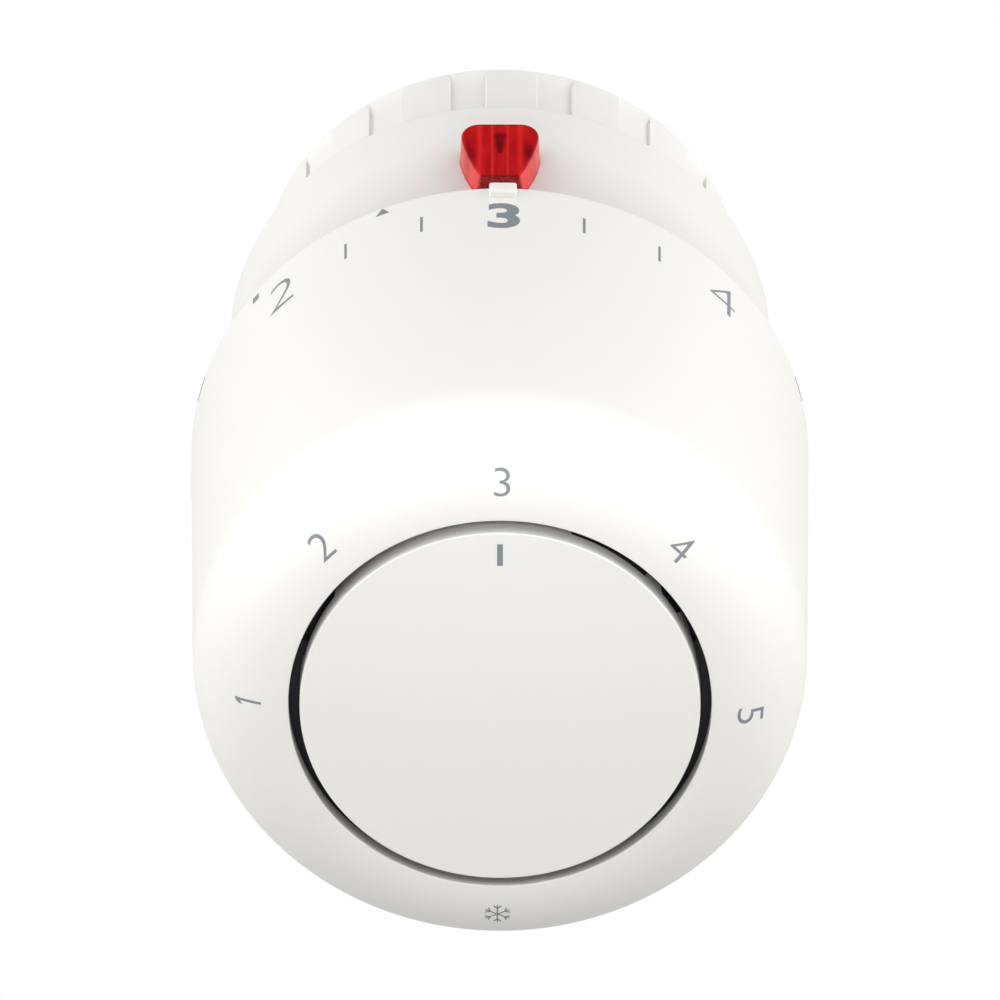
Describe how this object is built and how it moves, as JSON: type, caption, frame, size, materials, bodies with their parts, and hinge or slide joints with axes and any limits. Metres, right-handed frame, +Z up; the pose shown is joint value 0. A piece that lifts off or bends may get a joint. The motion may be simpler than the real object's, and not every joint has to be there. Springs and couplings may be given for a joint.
{
  "type": "thermostatic radiator valve head",
  "caption": "Cylindrical thermostatic radiator valve head: turning sleeve with a temperature scale, fixed front disc, red setting mark, gas sensor inside, union nut with a gripped ring.",
  "frame": {"origin": "centre of the thrust cap's rear face on the head's axis at rest, where it meets the valve spindle, 12.5 mm in front of the seating plane", "axes": "+Y along the head's axis from the front disc towards the valve body, +Z up through the red setting mark, +X to the right seen from the front"},
  "size_m": [0.0548, 0.0754, 0.0555],
  "materials": {
    "shell": "satin moulded white thermoplastic, very fine spark-eroded grain, grey printed scale",
    "indicator": "polished translucent red moulding",
    "cage": "black glass-filled moulding",
    "slider": "natural low-friction moulding",
    "thrust_plastic": "dark low-friction moulding",
    "seal_rubber": "matt rubber, lightly greased",
    "nickel_plate": "satin nickel-plated brass",
    "spring_steel": "bright drawn and stamped steel",
    "can": "deep-drawn, fine circular draw marks",
    "bearing_bronze": "turned and formed bronze",
    "copper": "drawn copper tube, pinched and soldered tip"
  },
  "bodies": {
    "base": {"base_collar": "shell", "red_indicator": "indicator", "sensor_cage": "cage", "front_disc": "shell", "dial_retaining_ring": "spring_steel", "friction_ring": "seal_rubber", "pin_guide_bush": "bearing_bronze", "limiter_pin_low": "spring_steel", "limiter_pin_high": "spring_steel", "nut_retaining_ring": "spring_steel"},
    "dial": {"dial_sleeve": "shell"},
    "coupling_nut": {"knurled_ring": "shell", "union_nut": "nickel_plate"},
    "carrier": {"setting_carrier": "slider", "spring_retainer": "spring_steel", "overtravel_spring": "spring_steel"},
    "sensor": {"sensor_capsule": "can", "capsule_end_plate": "spring_steel", "charge_tube": "copper", "bellows": "bearing_bronze", "return_spring": "spring_steel"},
    "pressure_pin": {"bellows_plate": "bearing_bronze", "push_pin": "spring_steel", "thrust_cap": "thrust_plastic"}
  },
  "joints": [
    {"name": "dial_spin", "type": "hinge", "parent": "base", "child": "dial", "pos_m": [0, -0.027, 0], "axis": [0, -1, 0], "range_deg": [-180, 90]},
    {"name": "nut_spin", "type": "hinge", "parent": "base", "child": "coupling_nut", "pos_m": [0, 0.0125, 0], "axis": [0, -1, 0], "continuous": true},
    {"name": "setting_slide", "type": "slide", "parent": "base", "child": "carrier", "axis": [0, -1, 0], "range_m": [-0.003, 0.0015]},
    {"name": "sensor_overtravel", "type": "slide", "parent": "carrier", "child": "sensor", "axis": [0, -1, 0], "range_m": [0, 0.0015], "stiffness_N_per_m": 200, "deforming": ["overtravel_spring"]},
    {"name": "pin_travel", "type": "slide", "parent": "sensor", "child": "pressure_pin", "axis": [0, 1, 0], "range_m": [-0.001, 0.002], "stiffness_N_per_m": 200, "deforming": ["bellows", "return_spring"]}
  ],
  "couplings": [
    {"joint": "dial_spin", "follows": "setting_slide", "rad_per_m": 1047.2}
  ]
}
